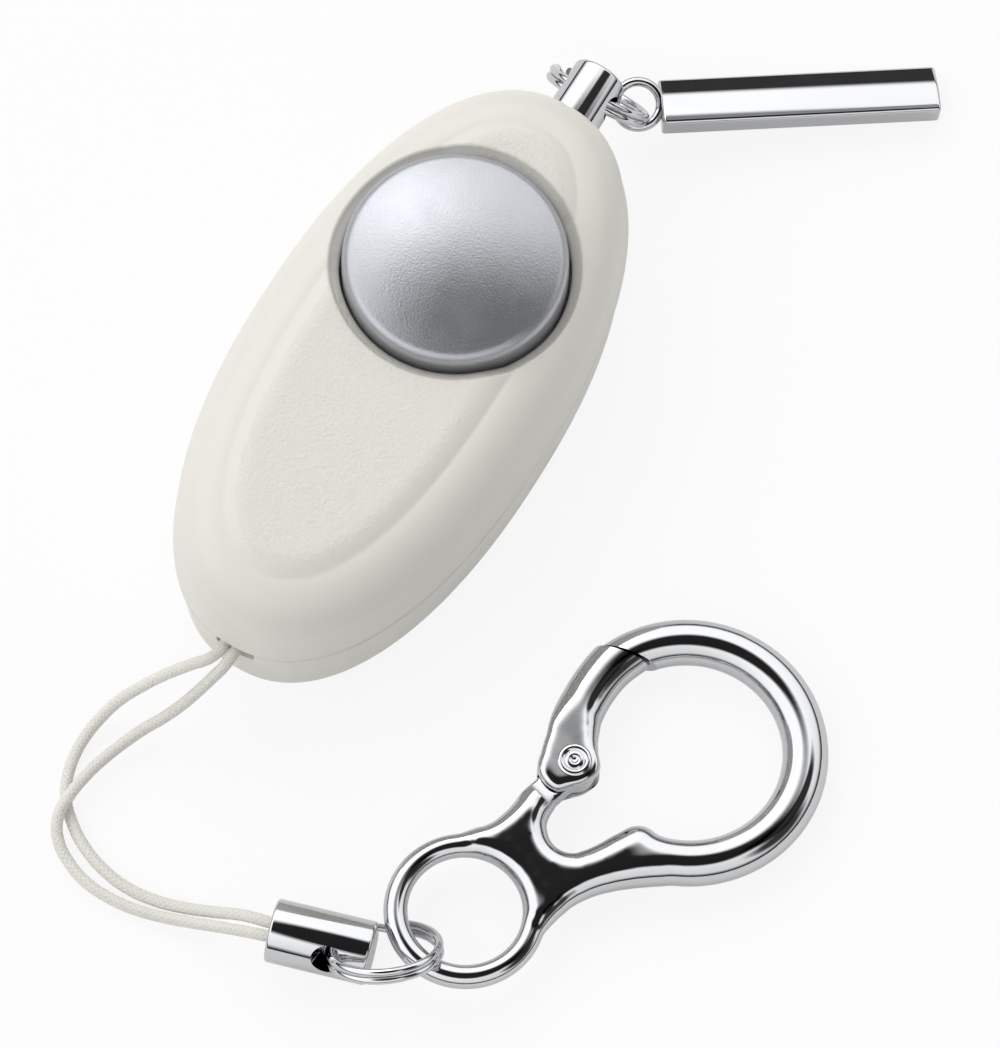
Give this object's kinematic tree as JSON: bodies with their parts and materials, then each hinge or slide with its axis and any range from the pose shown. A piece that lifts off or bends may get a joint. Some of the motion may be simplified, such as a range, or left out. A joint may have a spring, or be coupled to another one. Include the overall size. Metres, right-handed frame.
{
  "type": "personal safety alarm",
  "caption": "Egg-shaped hand alarm with a domed push button, a pull-out pin on a split ring with a tag, and a cord lanyard ending in a sprung snap clip.",
  "frame": {"origin": "centre of the flat back of the case, on the surface that it lies on", "axes": "+Y along the case towards the pull pin, +Z out of the button face, +X to the right of the face"},
  "size_m": [0.0729, 0.1191, 0.0242],
  "materials": {
    "ivory_plastic": "fine satin, warm white",
    "satin_silver": "satin silver paint with a fine grain",
    "chrome_metal": "polished plate",
    "spring_steel": "bright wire",
    "board_green": "solder mask",
    "black_plastic": "moulded black",
    "white_plastic": "plain off-white",
    "copper_wire": "enamelled copper",
    "cell_steel": "pressed steel can",
    "contact_brass": "sheet brass",
    "cord_ivory": "fine braid"
  },
  "bodies": {
    "alarm_body": {"front_shell": "ivory_plastic", "rear_shell": "ivory_plastic", "button_spring": "spring_steel", "circuit_board": "board_green", "tact_switch": "black_plastic", "driver_chip": "black_plastic", "boost_coil": "copper_wire", "drive_transistor": "black_plastic", "coin_cells": "cell_steel", "cell_base_contact": "contact_brass", "cell_top_contact": "contact_brass", "sounder_disc": "contact_brass", "sounder_ceramic": "white_plastic", "pin_contacts": "contact_brass", "case_screws": "spring_steel", "cord_anchor_pin": "spring_steel", "lanyard_cord_bend": "cord_ivory", "lanyard_cord_a": "cord_ivory", "lanyard_cord_b": "cord_ivory", "cord_ferrule": "chrome_metal"},
    "push_button": {"button_cap": "satin_silver"},
    "switch_stem": {"switch_plunger": "white_plastic"},
    "pull_pin": {"pull_pin_head": "chrome_metal", "pull_pin_shank": "black_plastic"},
    "pull_loop": {"pull_ring": "chrome_metal"},
    "tag": {"pull_tag": "chrome_metal"},
    "lanyard_loop": {"lanyard_ring": "chrome_metal"},
    "snap_clip": {"clip_body": "chrome_metal", "gate_rivet": "chrome_metal", "gate_spring": "spring_steel"},
    "gate": {"clip_gate": "chrome_metal"}
  },
  "joints": [
    {"name": "button_press", "type": "slide", "parent": "alarm_body", "child": "push_button", "axis": [0, 0, -1], "range_m": [0, 0.001], "stiffness_N_per_m": 900, "springref_m": -0.001, "deforming": ["button_spring"]},
    {"name": "plunger_press", "type": "slide", "parent": "alarm_body", "child": "switch_stem", "axis": [0, 0, -1], "range_m": [0, 0.00025]},
    {"name": "pin_pull", "type": "slide", "parent": "alarm_body", "child": "pull_pin", "axis": [0, 1, 0], "range_m": [0, 0.016]},
    {"name": "pull_ring_swing", "type": "hinge", "parent": "pull_pin", "child": "pull_loop", "pos_m": [0, 0.03585, 0.011], "axis": [1, 0, 0], "range_deg": [-27, 60]},
    {"name": "tag_swing", "type": "hinge", "parent": "pull_loop", "child": "tag", "pos_m": [0.00348, 0.03978, 0.00329], "axis": [0.7431, -0.3038, 0.5962], "range_deg": [0, 35]},
    {"name": "lanyard_ring_swing", "type": "hinge", "parent": "alarm_body", "child": "lanyard_loop", "pos_m": [0.02391, -0.05147, 0.0032], "axis": [-0.0043, -0.7776, 0.6288], "range_deg": [0, 20]},
    {"name": "clip_swing", "type": "hinge", "parent": "lanyard_loop", "child": "snap_clip", "pos_m": [0.02937, -0.04816, 0.00394], "axis": [0.8759, -0.4824, 0.0044], "range_deg": [0, 25]},
    {"name": "gate_open", "type": "hinge", "parent": "snap_clip", "child": "gate", "pos_m": [0.03408, -0.0237, 0.00308], "axis": [-0.0128, -0.0324, -0.9994], "range_deg": [0, 28], "stiffness_Nm_per_rad": 0.03, "springref_deg": -17.19}
  ],
  "couplings": [
    {"joint": "plunger_press", "follows": "button_press", "ratio": 0.25}
  ]
}
